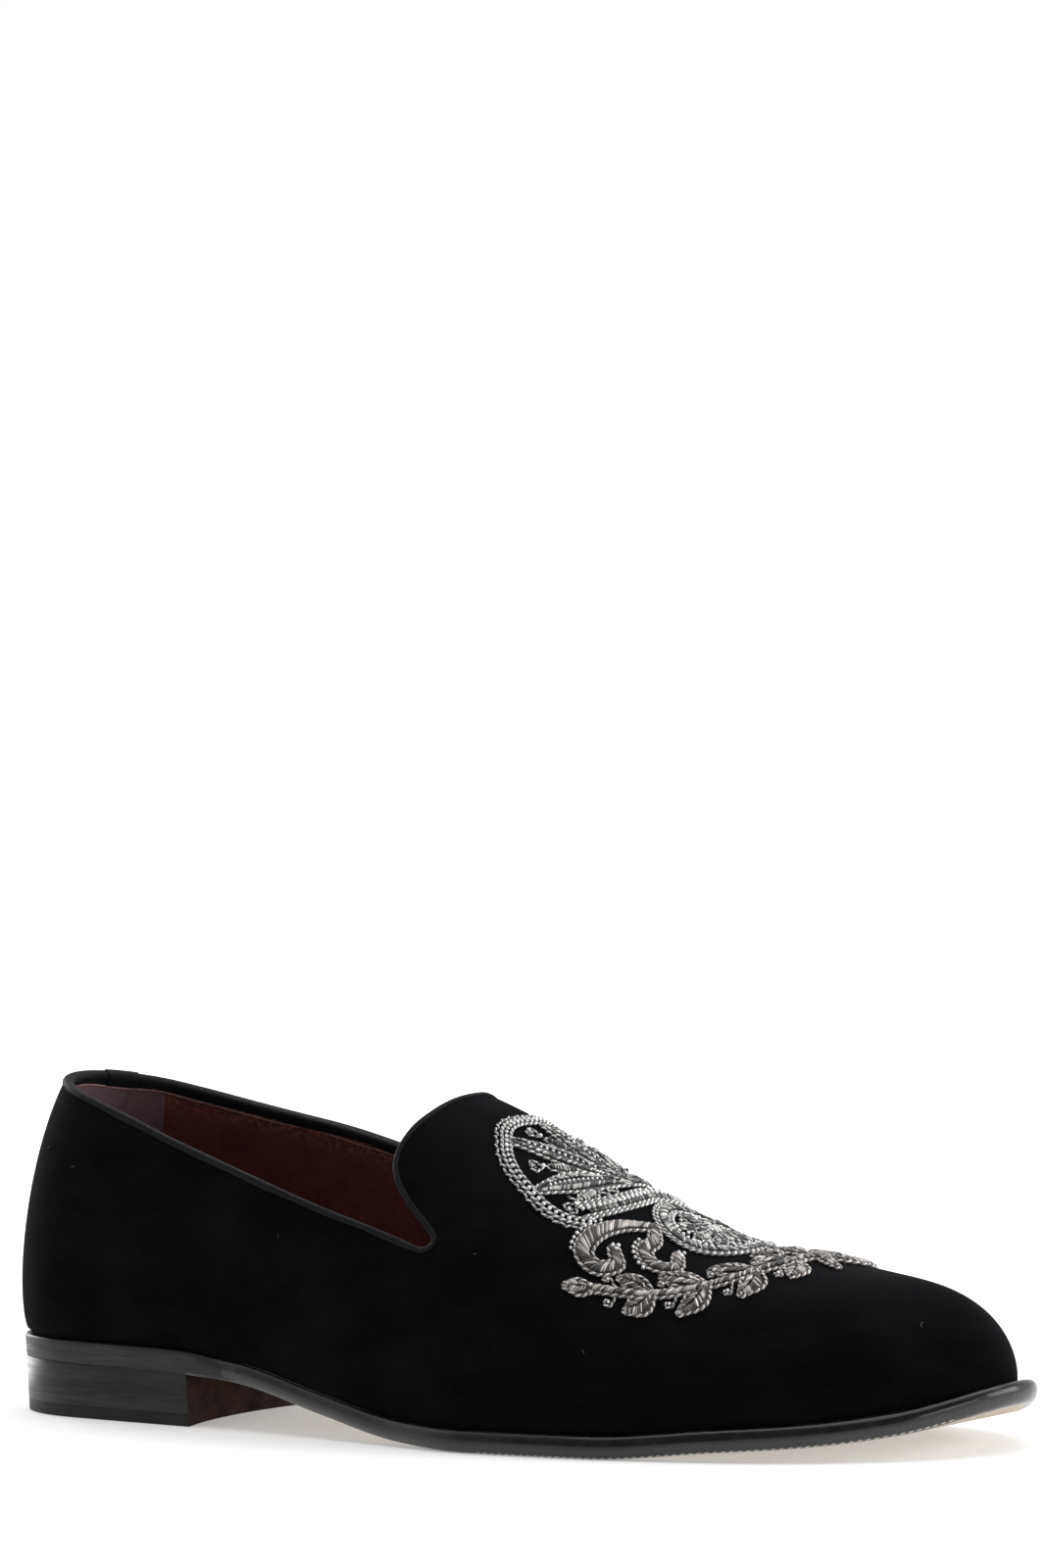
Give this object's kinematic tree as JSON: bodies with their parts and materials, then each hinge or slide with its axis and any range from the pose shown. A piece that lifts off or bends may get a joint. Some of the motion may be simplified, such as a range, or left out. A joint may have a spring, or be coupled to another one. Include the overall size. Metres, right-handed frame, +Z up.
{
  "type": "slipper loafer",
  "caption": "Low slip-on loafer with a velvet upper, ribbon-bound collar, raised embroidery on the vamp, a thin leather sole and a low stacked heel; the right shoe of a pair.",
  "frame": {"origin": "centre of the bounding box, on the floor under the standing shoe", "axes": "+X towards the toe, +Y towards the foot's inner side, +Z up"},
  "size_m": [0.3002, 0.1026, 0.0888],
  "materials": {
    "velvet": "short-pile black velvet, matt with a soft sheen at grazing angles",
    "ribbon": "fine ribbed charcoal grosgrain ribbon",
    "lining_leather": "smooth oxblood kid leather, low gloss",
    "sole_leather": "black-inked leather edge, waxed and polished",
    "heel_rubber": "black rubber, satin",
    "metal_thread": "silver-grey metallic thread, raised satin stitch and beads"
  },
  "bodies": {
    "root": {"outsole": "sole_leather", "heel_seat_rand": "sole_leather", "heel_top_piece": "heel_rubber", "heel_lift_1": "sole_leather", "heel_lift_2": "sole_leather", "heel_lift_3": "sole_leather", "upper": "velvet", "topline_binding": "ribbon", "insole": "lining_leather", "emb_palmette": "metal_thread", "emb_cord": "metal_thread", "emb_rosette": "metal_thread", "emb_ring": "metal_thread", "emb_scroll_outer": "metal_thread", "emb_scroll_inner": "metal_thread", "emb_sprays": "metal_thread"}
  },
  "joints": []
}
